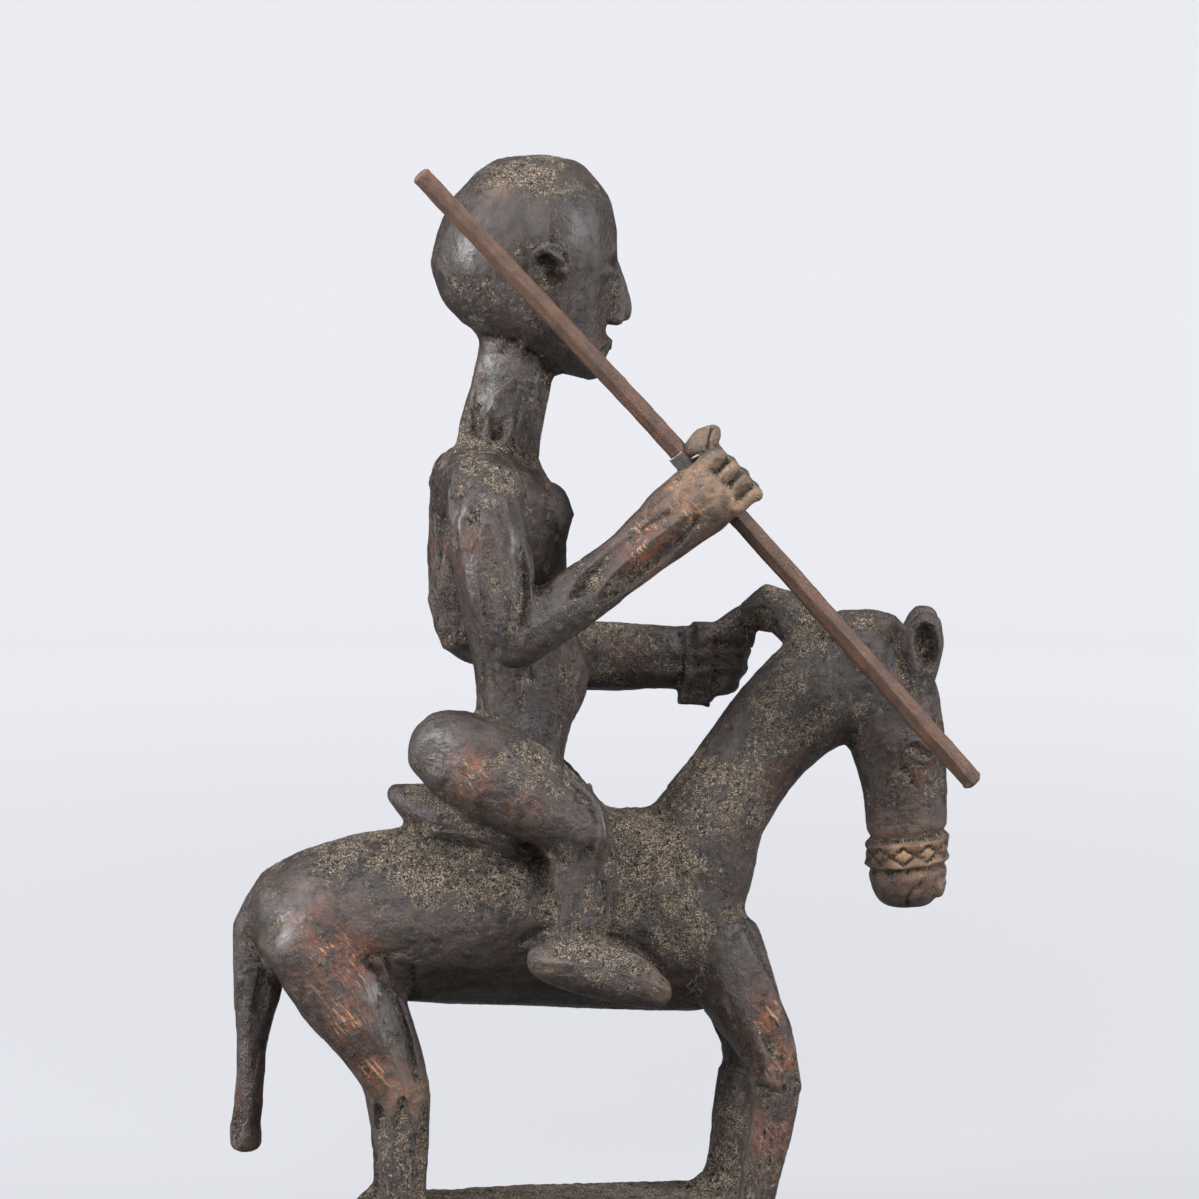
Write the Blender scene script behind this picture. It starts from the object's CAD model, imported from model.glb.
import math
import bpy
import numpy as np
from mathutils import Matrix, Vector, noise


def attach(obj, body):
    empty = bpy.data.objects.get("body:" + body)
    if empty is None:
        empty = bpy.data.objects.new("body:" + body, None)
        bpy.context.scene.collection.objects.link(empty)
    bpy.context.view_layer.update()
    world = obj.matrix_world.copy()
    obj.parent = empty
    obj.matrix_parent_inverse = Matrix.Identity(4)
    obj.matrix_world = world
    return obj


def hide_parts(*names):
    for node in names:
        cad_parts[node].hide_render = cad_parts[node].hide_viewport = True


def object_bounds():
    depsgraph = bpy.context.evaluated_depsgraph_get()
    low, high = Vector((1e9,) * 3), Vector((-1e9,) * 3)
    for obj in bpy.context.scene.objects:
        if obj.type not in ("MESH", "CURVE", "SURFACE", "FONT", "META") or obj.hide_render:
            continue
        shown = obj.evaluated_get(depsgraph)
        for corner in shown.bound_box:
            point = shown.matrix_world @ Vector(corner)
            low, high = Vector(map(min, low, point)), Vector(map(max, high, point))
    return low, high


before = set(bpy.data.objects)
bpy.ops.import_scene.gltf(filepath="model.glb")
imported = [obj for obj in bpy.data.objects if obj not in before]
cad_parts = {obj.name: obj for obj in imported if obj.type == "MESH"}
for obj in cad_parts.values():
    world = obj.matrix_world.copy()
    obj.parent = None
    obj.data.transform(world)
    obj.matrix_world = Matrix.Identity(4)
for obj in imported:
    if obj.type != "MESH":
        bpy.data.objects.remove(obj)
cadLow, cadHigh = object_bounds()
print("frame loaded, nodes:", ", ".join(sorted(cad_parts)))


# Selection, meshes and modifiers

def clearSelection():
    if bpy.context.object and bpy.context.object.mode != "OBJECT":
        bpy.ops.object.mode_set(mode="OBJECT")
    bpy.ops.object.select_all(action="DESELECT")


def pick(piece):
    clearSelection()
    piece.select_set(True)
    bpy.context.view_layer.objects.active = piece


def applyModifier(piece, kind, **settings):
    pick(piece)
    modifier = piece.modifiers.new(kind.lower(), kind)
    for name, value in settings.items():
        setattr(modifier, name, value)
    bpy.ops.object.modifier_apply(modifier=modifier.name)


def mergedCopy(nodeName, pieceName):
    piece = bpy.data.objects.new(pieceName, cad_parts[nodeName].data.copy())
    bpy.context.scene.collection.objects.link(piece)
    piece.data.materials.clear()
    pick(piece)
    bpy.ops.object.mode_set(mode="EDIT")
    bpy.ops.mesh.select_all(action="SELECT")
    bpy.ops.mesh.remove_doubles(threshold=0.00002)
    bpy.ops.object.mode_set(mode="OBJECT")
    return piece


def inMetres(point):
    return tuple(value * 0.001 for value in point)


def inRadians(turn):
    return [math.radians(angle) for angle in turn]


def shaped(half):  # gives the new primitive its half sizes, and leaves its place in its mesh
    form = bpy.context.object
    form.scale = inMetres(half)
    bpy.ops.object.transform_apply(location=True, rotation=True, scale=True)
    return form


def addEgg(at, half, turn=(0, 0, 0)):
    clearSelection()
    bpy.ops.mesh.primitive_uv_sphere_add(segments=24, ring_count=14, radius=1, location=inMetres(at),
                                         rotation=inRadians(turn))
    return shaped(half)


def addBlock(at, half, turn=(0, 0, 0)):
    clearSelection()
    bpy.ops.mesh.primitive_cube_add(size=2, location=inMetres(at), rotation=inRadians(turn))
    return shaped(half)


def addRoll(points, thick, closed=False):  # a round roll of wood along a smooth line
    curve = bpy.data.curves.new("roll", "CURVE")
    curve.dimensions = "3D"
    curve.bevel_depth = thick * 0.001
    curve.bevel_resolution = 3
    curve.use_fill_caps = True
    spline = curve.splines.new("NURBS")
    spline.points.add(len(points) - 1)
    for slot, point in zip(spline.points, points):
        slot.co = (*inMetres(point[:3]), 1)
        slot.radius = point[3] if len(point) > 3 else 1
    spline.order_u = 3
    spline.use_endpoint_u = not closed
    spline.use_cyclic_u = closed
    spline.resolution_u = 6
    roll = bpy.data.objects.new("roll", curve)
    bpy.context.scene.collection.objects.link(roll)
    pick(roll)
    bpy.ops.object.convert(target="MESH")
    return bpy.context.object


def joinInto(piece, extras):
    clearSelection()
    for extra in extras:
        extra.select_set(True)
    piece.select_set(True)
    bpy.context.view_layer.objects.active = piece
    bpy.ops.object.join()


def readPoints(mesh):
    values = np.empty(len(mesh.vertices) * 3, np.float32)
    mesh.vertices.foreach_get("co", values)
    return values.reshape(-1, 3).astype(np.float64) * 1000


def readNormals(mesh):
    values = np.empty(len(mesh.vertices) * 3, np.float32)
    mesh.vertex_normals.foreach_get("vector", values)
    return values.reshape(-1, 3).astype(np.float64)


def writePoints(mesh, points):
    mesh.vertices.foreach_set("co", (points * 0.001).astype(np.float32).ravel())
    mesh.update()


def readEdges(mesh):
    values = np.empty(len(mesh.edges) * 2, np.int32)
    mesh.edges.foreach_get("vertices", values)
    return values.reshape(-1, 2)


def neighbourMean(values, edges):
    count = len(values)
    share = np.bincount(edges.ravel(), minlength=count)
    total = np.zeros_like(values)
    for axis in range(values.shape[1]):
        column = values[:, axis]
        total[:, axis] = np.bincount(edges[:, 0], weights=column[edges[:, 1]], minlength=count)
        total[:, axis] += np.bincount(edges[:, 1], weights=column[edges[:, 0]], minlength=count)
    return total / np.maximum(share, 1)[:, None]


def smoothStep(value, low, high):
    share = np.clip((value - low) / (high - low), 0, 1)
    return share * share * (3 - 2 * share)


def noiseAt(points, size, seed, octaves=1):  # smooth noise of about -1 to 1, with features of that size in mm
    shift = Vector((seed * 17.3, seed * 7.7, seed * 3.1))
    scaled = points / size
    if octaves == 1:
        return np.array([noise.noise(Vector(p) + shift) for p in scaled])
    return np.array([noise.fractal(Vector(p) + shift, 0.9, 2.1, octaves) for p in scaled])


def unit(way):
    way = np.array(way, float)
    return way / np.linalg.norm(way)


def sums(cells, values, count):  # what the values' three columns add up to in each cell
    return np.stack([np.bincount(cells, values[:, axis], count) for axis in range(3)], 1)


def alongSegments(points, segments):  # distance to each (start, end), in mm
    found = []
    for start, end in segments:
        start, end = np.array(start, float), np.array(end, float)
        line = end - start
        share = np.clip((points - start) @ line / max(line @ line, 1e-9), 0, 1)
        found.append(np.linalg.norm(points - start - share[:, None] * line, axis=1))
    return np.stack(found, 1)


# The camera stands where the photograph was taken from

photoCamera = {
    "place": (-0.1918, -1.4786, 0.4548),
    "aim": (0.016, 0.0, 0.311),
    "lens": 99.98,
    "sensor": 36.0,
}


def makeCamera():
    bpy.ops.object.camera_add(location=photoCamera["place"])
    camera = bpy.context.object
    camera.name = "photoCamera"
    camera.data.lens = photoCamera["lens"]
    camera.data.sensor_width = photoCamera["sensor"]
    camera.data.clip_start = 0.05
    camera.data.clip_end = 50
    look = Vector(photoCamera["aim"]) - Vector(photoCamera["place"])
    camera.rotation_euler = look.to_track_quat("-Z", "Y").to_euler()
    bpy.context.scene.camera = camera


makeCamera()
print("camera placed")


# The carving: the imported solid, softened, with its details joined on and cut in. Sizes are in mm.

carvedWork = {
    "firstVoxel": 1.5,
    "lastVoxel": 0.9,
    "fineRounds": 4,
    "broadRounds": 30,
    "softFrom": 0.6,
    "softTo": 1.2,
    "baseTop": (27, 31),
    "blendRounds": 60,
    "seed": 11,
    "mostTriangles": 197000,
}

# The carver's knife follows these lines. Each has its start and end, the reach of its form,
# the width and length of one cut, and how flat the cuts are.
knifeLines = [
    ((-80, 0, 12), (80, 0, 12), 44, 15, 24, 0.5),
    ((-112, -18, 165), (-88, -25, 112), 20, 13, 30, 0.3),
    ((-111, 18, 165), (-87, 25, 112), 20, 13, 30, 0.3),
    ((-81, -27, 98), (-77, -28, 36), 11, 7, 30, 0.8),
    ((-80, 27, 98), (-76, 28, 36), 11, 7, 30, 0.8),
    ((68, -18, 160), (90, -26, 100), 15, 8, 34, 0.8),
    ((68, 18, 160), (88, 26, 100), 15, 8, 34, 0.8),
    ((92, -27, 90), (83, -28, 36), 10, 6, 36, 0.9),
    ((88, 27, 90), (78, 28, 36), 10, 6, 36, 0.9),
    ((-112, 0, 170), (52, 0, 169), 40, 19, 34, 0.15),
    ((62, 0, 196), (120, 0, 268), 21, 12, 26, 0.45),
    ((150, 0, 262), (159, 0, 174), 18, 8, 24, 0.5),
    ((-137, 0, 170), (-144, 0, 68), 8, 6, 34, 0.9),
    ((-60, 0, 216), (5, 0, 212), 20, 10, 20, 0.4),
    ((-24, 0, 238), (-26, 0, 352), 26, 10, 28, 0.7),
    ((-31, 0, 366), (-17, 0, 434), 17, 6.5, 44, 1),
    ((-16, 0, 455), (-15, 0, 475), 36, 8, 18, 0.35),
    ((-38, -38, 358), (-31, -46, 302), 15, 8, 42, 0.95),
    ((-41, 38, 358), (-43, 44, 300), 14, 8, 42, 0.95),
    ((-26, -46, 300), (58, -41, 362), 13, 8, 26, 0.6),
    ((-36, 44, 292), (62, 37, 280), 13, 8, 26, 0.6),
    ((-48, -30, 243), (6, -44, 208), 17, 10, 26, 0.3),
    ((-40, 30, 235), (14, 44, 200), 17, 10, 26, 0.3),
    ((3, -42, 204), (1, -43, 162), 12, 7, 30, 0.7),
    ((11, 42, 196), (9, 43, 154), 12, 7, 30, 0.7),
    ((-16, -47, 157), (36, -48, 142), 11, 9, 18, 0.4),
    ((-8, 47, 149), (44, 48, 134), 11, 9, 18, 0.4),
]


def onBothSides(places):
    return places + [((x, -y, z), *rest) for (x, y, z), *rest in places]


# Where the forms stay small: middle and reach
finePlaces = onBothSides([((-12, -34, 463), 13)]) + [
    ((14, 0, 446), 25), ((66, -40, 369), 20), ((74, 37, 280), 20), ((160, 0, 172), 16),
    ((162, -13, 284), 22), ((168, 13, 284), 22), ((160, 0, 194), 20), ((-60, 0, 32), 12),
    ((96, 24, 302), 10), ((-145, 0, 64), 13), ((-75, 0, 222), 13),
]


def nearest(points, places):
    best = np.zeros(len(points))
    for middle, reach in places:
        away = np.linalg.norm(points - np.array(middle, float), axis=1)
        best = np.maximum(best, 1 - smoothStep(away, reach * 0.75, reach * 1.2))
    return best


def relaxed(points, edges, rounds):  # smoothed twice, so that the form keeps its size
    once = points
    for _ in range(rounds):
        once = once + (neighbourMean(once, edges) - once) * 0.6
    twice = once
    for _ in range(rounds):
        twice = twice + (neighbourMean(twice, edges) - twice) * 0.6
    return once * 2 - twice


def soften(piece):  # flat facets go, edges and creases stay
    points, edges = readPoints(piece.data), readEdges(piece.data)
    fine = relaxed(points, edges, carvedWork["fineRounds"])
    broad = relaxed(points, edges, carvedWork["broadRounds"])
    away = np.linalg.norm(broad - fine, axis=1)
    share = 1 - smoothStep(away, carvedWork["softFrom"], carvedWork["softTo"])
    share *= 1 - nearest(points, finePlaces)
    for _ in range(3):
        share = neighbourMean(share[:, None], edges)[:, 0]
    onBase = smoothStep(points[:, 2], *carvedWork["baseTop"])
    points = fine + (broad - fine) * share[:, None] * (0.25 + 0.75 * onBase)[:, None]
    writePoints(piece.data, points)


# The muzzle under the noseband, the band's rims, the edges cut beside it and the lozenges between the rims
noseband = {
    "middle": 158.8,
    "deep": 19.3,
    "wide": 18.5,
    "tilt": 2,
    "rims": (198.3, 189),
    "rimDeep": 19,
    "rimWide": 18.2,
    "rimThick": 1.1,
    "edges": ((201.8, -1.5), (185.8, -1.2)),
    "edgeWidth": 1.8,
    "lozenges": 10,
    "lozengeEnds": (190.2, 197.2),
    "lozengeWidth": 0.7,
    "lozengeDepth": -1.4,
}


def roundMuzzle(turn, height, deep=noseband["deep"], wide=noseband["wide"]):
    return (noseband["middle"] + deep * math.cos(turn), wide * math.sin(turn),
            height + noseband["tilt"] * math.cos(turn))


def bandLines():
    turns = np.linspace(0, 2 * math.pi, 25)
    lines = [(noseband["edgeWidth"], depth, False, [roundMuzzle(turn, height) for turn in turns])
             for height, depth in noseband["edges"]]
    count = noseband["lozenges"]
    low, high = noseband["lozengeEnds"]
    for number in range(count):
        first, last = number * 2 * math.pi / count, (number + 1) * 2 * math.pi / count
        for start, end in ((low, high), (high, low)):
            lines.append((noseband["lozengeWidth"], noseband["lozengeDepth"], False,
                          [roundMuzzle(first, start), roundMuzzle(last, end)]))
    return lines


def bandRims():
    turns = np.linspace(0, 2 * math.pi, 18, endpoint=False)
    return [addRoll([roundMuzzle(turn, height, noseband["rimDeep"], noseband["rimWide"]) for turn in turns],
                    noseband["rimThick"], closed=True) for height in noseband["rims"]]


def riderHeadDetails(side):  # two lids, a wing of the nose and the rim of the ear
    details = [addRoll([(15.6, side * 5.8, 458.4), (18.6, side * 9.5, 458.5 + rise),
                        (18.2, side * 14.5, 458.5 + rise), (13.2, side * 19.5, 458.4)], 1.0)
               for rise in (2.6, -2.4)]
    details.append(addEgg((21.8, side * 5.2, 437.2), (4.6, 2.6, 3.1), (0, 15, 0)))
    details.append(addRoll([(-22.5, side * 33, 456, 0.6), (-20.5, side * 35.3, 463),
                            (-14.5, side * 35.9, 469.2), (-7, side * 34.6, 469.2),
                            (-1.8, side * 32.3, 464.5, 0.9), (0.2, side * 30.6, 457, 0.4)], 1.3))
    return details


def horseHeadDetails(side):  # two lids and a nostril
    back, front = (151, side * 19.6, 243.5, 0.6), (168, side * 16.6, 238.4, 0.6)
    return [addRoll([back, (155.5, side * 21.8, 248.6), (161.5, side * 20.8, 246.6), front], 1.4),
            addRoll([back, (156, side * 20.4, 238.6), (161.5, side * 19.4, 236.2), front], 1.3),
            addEgg((170.5, side * 8.5, 178), (5, 5.5, 5.6))]


def nearFistDetails():  # the root of the thumb, and a knuckle for each finger
    knuckles = ((62, -46, 377.6), (67.8, -46, 372.6), (73, -46, 367), (78.2, -46, 361))
    return [addEgg((56, -39.5, 383.5), (10, 5.4, 5.6), (0, -40, 0))] + [
        addEgg(knuckle, (3.8, 5, 3.6), (0, 45, 0)) for knuckle in knuckles]


def hipFillers():  # they fill the step between the rump and the hind legs
    return [addEgg((-120, side * 27, 160), (15, 8, 14)) for side in (-1, 1)]


def farFistDetails():  # the end of the rein below the fist and the plate above it
    lean = (0, 4, 0)
    return [addBlock((64.5, 30, 267), (7, 6, 8.5), lean), addBlock((78, 31, 291), (14, 6.5, 5), lean)]


def nearEarDetails():  # the horse's near ear is filled to a leaf with two thin edges
    foot, tip = (160.8, -17.2, 267, 0.6), (161.5, -17.6, 304.6)
    return [addEgg((161.5, -14.2, 288), (7.5, 2.2, 15)),
            addRoll([foot, (154.6, -16.2, 277), (151.9, -16.2, 289), (154.6, -17, 299), tip], 0.9),
            addRoll([foot, (167.2, -16, 276), (170.2, -16.8, 287), (168.2, -18.4, 298.6), tip], 0.9)]


# The hook of the rider's near knee, and how far the far leg is ahead of the near one and below it
kneeHook = {
    "way": [(-4, -50, 238, 0.6), (4.5, -52, 231), (9.5, -55, 220), (9.4, -56.6, 209), (6.4, -55.6, 203, 0.5)],
    "thick": 2.1,
    "farAhead": 8,
    "farBelow": 8,
}


def kneeHooks():
    farWay = [(x + kneeHook["farAhead"], -y, z - kneeHook["farBelow"], *thick)
              for x, y, z, *thick in kneeHook["way"]]
    return [addRoll(way, kneeHook["thick"]) for way in (kneeHook["way"], farWay)]


def addDetails():  # small forms that are joined on before the last remesh
    heads = [detail for side in (-1, 1) for detail in riderHeadDetails(side) + horseHeadDetails(side)]
    return (heads + bandRims() + nearFistDetails() + hipFillers() + farFistDetails() + nearEarDetails()
            + kneeHooks())


def ownLines(points):  # for each point, the number of the knife line whose form it belongs to
    distances = alongSegments(points, [line[:2] for line in knifeLines])
    return (distances / np.array([line[2] for line in knifeLines])).argmin(1)


facetWork = {
    "fewestPoints": 50,
    "fewestCuts": 6,
    "cutsPerArea": 0.9,
    "turnWeight": 0.8,
    "deepest": 0.9,
    "softRounds": 2,
    "softShare": 0.3,
}


def cutFacets(piece, seed):  # each knife cut is a small flat that lies along its form
    points, normals, edges = readPoints(piece.data), readNormals(piece.data), readEdges(piece.data)
    picker = np.random.default_rng(seed)
    lineNumbers = ownLines(points)
    calm = 1 - nearest(points, finePlaces)
    moved = points.copy()
    for number, (start, end, _, width, length, flatness) in enumerate(knifeLines):
        members = np.nonzero(lineNumbers == number)[0]
        if len(members) < facetWork["fewestPoints"]:
            continue
        form, faces = points[members], normals[members]
        along = unit(np.subtract(end, start))
        lean = form - np.outer(form @ along, along) * (1 - width / length)
        sixfold = np.hstack([lean, faces * width * facetWork["turnWeight"]]).astype(np.float32)
        count = int(len(members) * facetWork["cutsPerArea"] / (width * length))
        count = max(facetWork["fewestCuts"], count)
        seeds = sixfold[picker.choice(len(members), count, replace=False)]
        seedSize = (seeds ** 2).sum(1)
        cells = [(seedSize - 2 * some @ seeds.T).argmin(1) for some in np.array_split(sixfold, 24)]
        cells = np.concatenate(cells)
        middle = sums(cells, form, count) / np.maximum(np.bincount(cells, minlength=count), 1)[:, None]
        facing = sums(cells, faces, count)
        facing /= np.maximum(np.linalg.norm(facing, axis=1), 1e-9)[:, None]
        height = ((form - middle[cells]) * facing[cells]).sum(1)
        height = np.clip(height, -facetWork["deepest"], facetWork["deepest"]) * flatness * calm[members]
        moved[members] -= height[:, None] * facing[cells]
    for _ in range(facetWork["softRounds"]):
        moved += (neighbourMean(moved, edges) - moved) * facetWork["softShare"] * calm[:, None]
    writePoints(piece.data, moved)


# Broad flat cuts: the middle on the surface, the way it faces, the way it runs, half its length and width,
# and the depth taken off. Each is also made on the far side, moved by the last three numbers, unless these
# are None.
broadCuts = [
    # head and neck of the rider
    ((4.5, -27.1, 475), (0.47, -0.88, 0.1), (0.1, 0, 1), 20, 6.5, 0.6, (0, 0, 0)),
    ((-5, -30.4, 474), (0.1, -0.98, 0.15), (0.1, 0, 1), 16, 6, 0.6, (0, 0, 0)),
    ((13, -22, 477), (0.72, -0.69, 0.1), (0, 0, 1), 14, 6, 0.7, (0, 0, 0)),
    ((-45, -25, 468), (-0.6, -0.78, 0.2), (0.2, 0, 1), 17, 10, 0.8, (0, 0, 0)),
    ((-36, -29, 484), (-0.35, -0.8, 0.5), (1, 0, 0.8), 15, 9, 0.6, (0, 0, 0)),
    ((-38, -28, 447), (-0.45, -0.8, -0.4), (0.4, 0, 1), 14, 8, 0.6, (0, 0, 0)),
    ((-36, -11, 412), (-0.7, -0.7, 0.1), (0.2, 0, 1), 30, 7, 0.9, (0, 0, 0)),
    ((-28, -16, 406), (-0.2, -0.97, 0), (0.2, 0, 1), 27, 6, 0.7, (0, 0, 0)),
    ((-19, -16.3, 406), (0.25, -0.97, 0), (0.2, 0, 1), 27, 6, 0.7, (0, 0, 0)),
    ((-12.5, -12, 404), (0.75, -0.65, -0.1), (0.2, 0, 1), 27, 7, 0.7, (0, 0, 0)),
    # arms
    ((-52, -50, 333), (-0.84, -0.54, -0.05), (0.08, 0, -1), 36, 9, 1.1, (3, 0, 0)),
    ((-42, -56, 333), (-0.05, -0.99, 0.1), (0.1, 0, -1), 34, 7, 1.0, (3, 0, 0)),
    ((-29, -55, 333), (0.55, -0.83, 0.1), (0.05, 0, -1), 32, 7, 0.9, (0, 0, 0)),
    ((20, -53, 336), (-0.3, -0.88, 0.38), (58, 0, 47), 34, 6, 0.8, None),
    ((30, -52, 334), (0.28, -0.88, -0.36), (58, 0, 47), 32, 6, 0.9, None),
    ((10, 49, 286), (0, 0.97, 0.25), (1, 0, 0), 36, 7, 0.8, None),
    # rump, thigh, knee and shin
    ((-117, -28, 183), (-0.3, -0.8, 0.52), (1, 0, 0.4), 22, 11, 0.5, (0, 0, 0)),
    ((-60, -41, 250), (-0.55, -0.82, 0.1), (0, 0, 1), 17, 12, 0.7, (8, 0, -8)),
    ((-48, -45, 252), (-0.15, -0.93, 0.33), (1, 0, -0.5), 20, 10, 0.5, (8, 0, -8)),
    ((4, -55, 190), (-0.1, -0.99, 0), (0, 0, 1), 20, 6, 0.7, (8, 0, -8)),
    ((14, -50, 188), (0.75, -0.66, 0), (0, 0, 1), 20, 6, 0.8, (8, 0, -8)),
    # the leaf-shaped flat of the hind leg, and the lower leg
    ((-84.5, -37.9, 128), (0.46, -0.85, 0.26), (14.1, -2.7, -38), 34, 12, 2.3, (1, 0, 0)),
    ((-77, -38.6, 70), (0, -1, 0), (0, 0, 1), 28, 5, 0.8, (1, 0, 0)),
    ((-86, -34.5, 66), (-0.75, -0.66, 0), (0, 0, 1), 28, 5, 0.8, (1, 0, 0)),
    ((-68, -34, 66), (0.75, -0.66, 0), (0, 0, 1), 28, 5, 0.8, (1, 0, 0)),
    # shoulder and foreleg
    ((75, -31.5, 161), (0.38, -0.87, 0.32), (0.35, 0, -1), 22, 10, 1.0, (0, 0, 0)),
    ((86, -36, 124), (0.2, -0.97, 0.1), (0.4, 0, -1), 24, 6, 0.9, (-2, 0, 0)),
    ((99.5, -32, 104), (0.78, -0.62, 0), (0, 0, -1), 22, 6, 0.8, (-3, 0, 0)),
    ((88, -38.2, 66), (0.05, -1, 0), (-0.15, 0, -1), 26, 5, 0.8, (-4, 0, 0)),
    ((80, -35, 60), (-0.78, -0.62, 0), (-0.15, 0, -1), 26, 5, 0.8, (-4, 0, 0)),
    # the tail, the underside of the saddle's leaf and the horse's cheek
    ((-141, -7.6, 108), (0.1, -0.99, 0), (-0.1, 0, -1), 42, 5, 0.6, (0, 0, 0)),
    ((-147.5, -4.5, 104), (-0.8, -0.6, 0), (-0.1, 0, -1), 42, 5, 0.6, (0, 0, 0)),
    ((-58, -26, 209), (-0.35, -0.5, -0.8), (0.9, -0.35, -0.2), 24, 9, 1.1, (0, 0, 0)),
    ((154, -18.6, 216), (0.05, -0.99, 0.05), (0.15, 0, -1), 22, 8, 0.9, (0, 0, 0)),
    ((172, -12, 222), (0.75, -0.65, 0.1), (0, 0, -1), 24, 6, 0.8, (0, 0, 0)),
]


# How far a form may stand past the plane of a cut, and the share of the cut where its edge begins
broadWork = {
    "standing": 3,
    "edge": 0.65,
}


def cutBroad(piece):  # what stands out past the plane of a cut is taken off
    points = readPoints(piece.data)
    for middle, facing, run, half, wide, depth, beyond in broadCuts:
        for side in [1] if beyond is None else [1, -1]:
            turn = np.array((1, side, 1), float)
            at = np.array(middle, float) * turn + (0 if side == 1 else np.array(beyond, float))
            face = unit(np.array(facing, float) * turn)
            way = np.array(run, float) * turn
            way = unit(way - face * (way @ face))
            away = points - at
            height = away @ face
            reach = (away @ way / half) ** 2 + (away @ np.cross(face, way) / wide) ** 2
            cut = (reach < 1) & (height > -depth) & (height < broadWork["standing"])
            share = 1 - smoothStep(reach[cut], broadWork["edge"], 1)
            points[cut] -= np.outer((height[cut] + depth) * share, face)
    writePoints(piece.data, points)


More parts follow.
